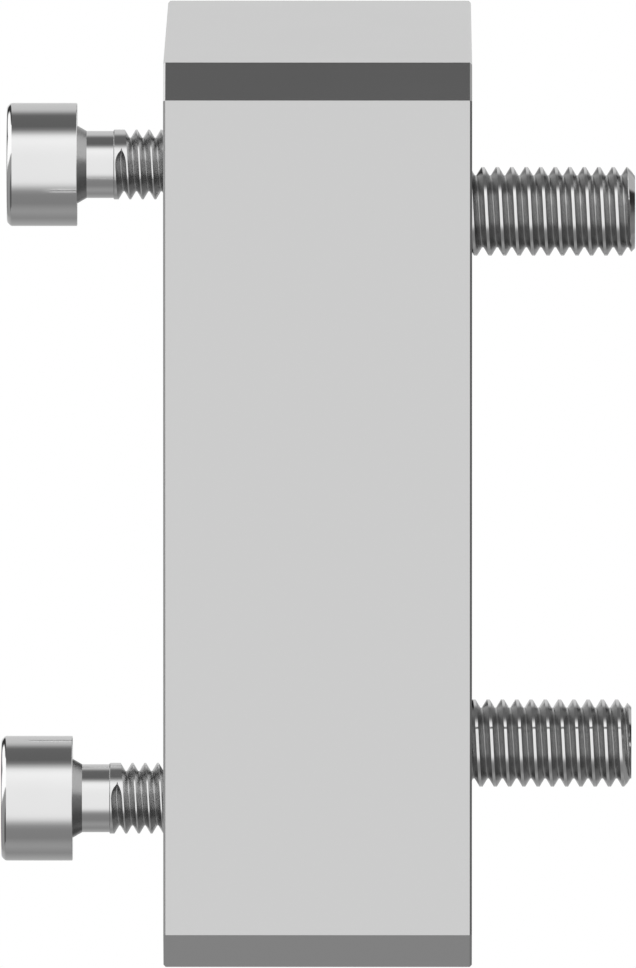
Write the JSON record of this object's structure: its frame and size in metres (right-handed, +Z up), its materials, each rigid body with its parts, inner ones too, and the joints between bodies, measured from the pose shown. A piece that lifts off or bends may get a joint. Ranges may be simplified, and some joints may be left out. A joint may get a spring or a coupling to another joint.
{
  "type": "mounting block",
  "caption": "Square machined block with socket head cap screws that clamp a flange on one diagonal and screws that stand out of the far face on the other.",
  "frame": {"origin": "centre of the hole pattern on the seat face, which is the face that the long screws stand out of", "axes": "+X along the screws and out of the seat face, +Y across the block, +Z up as the block stands on its narrow side"},
  "size_m": [0.035, 0.05, 0.05],
  "materials": {
    "block": "satin",
    "screw": "polished"
  },
  "bodies": {
    "root": {"mounting_block": "block", "clamp_screw_upper": "screw", "clamp_screw_lower": "screw", "mounting_screw_upper": "screw", "mounting_screw_lower": "screw"}
  },
  "joints": []
}
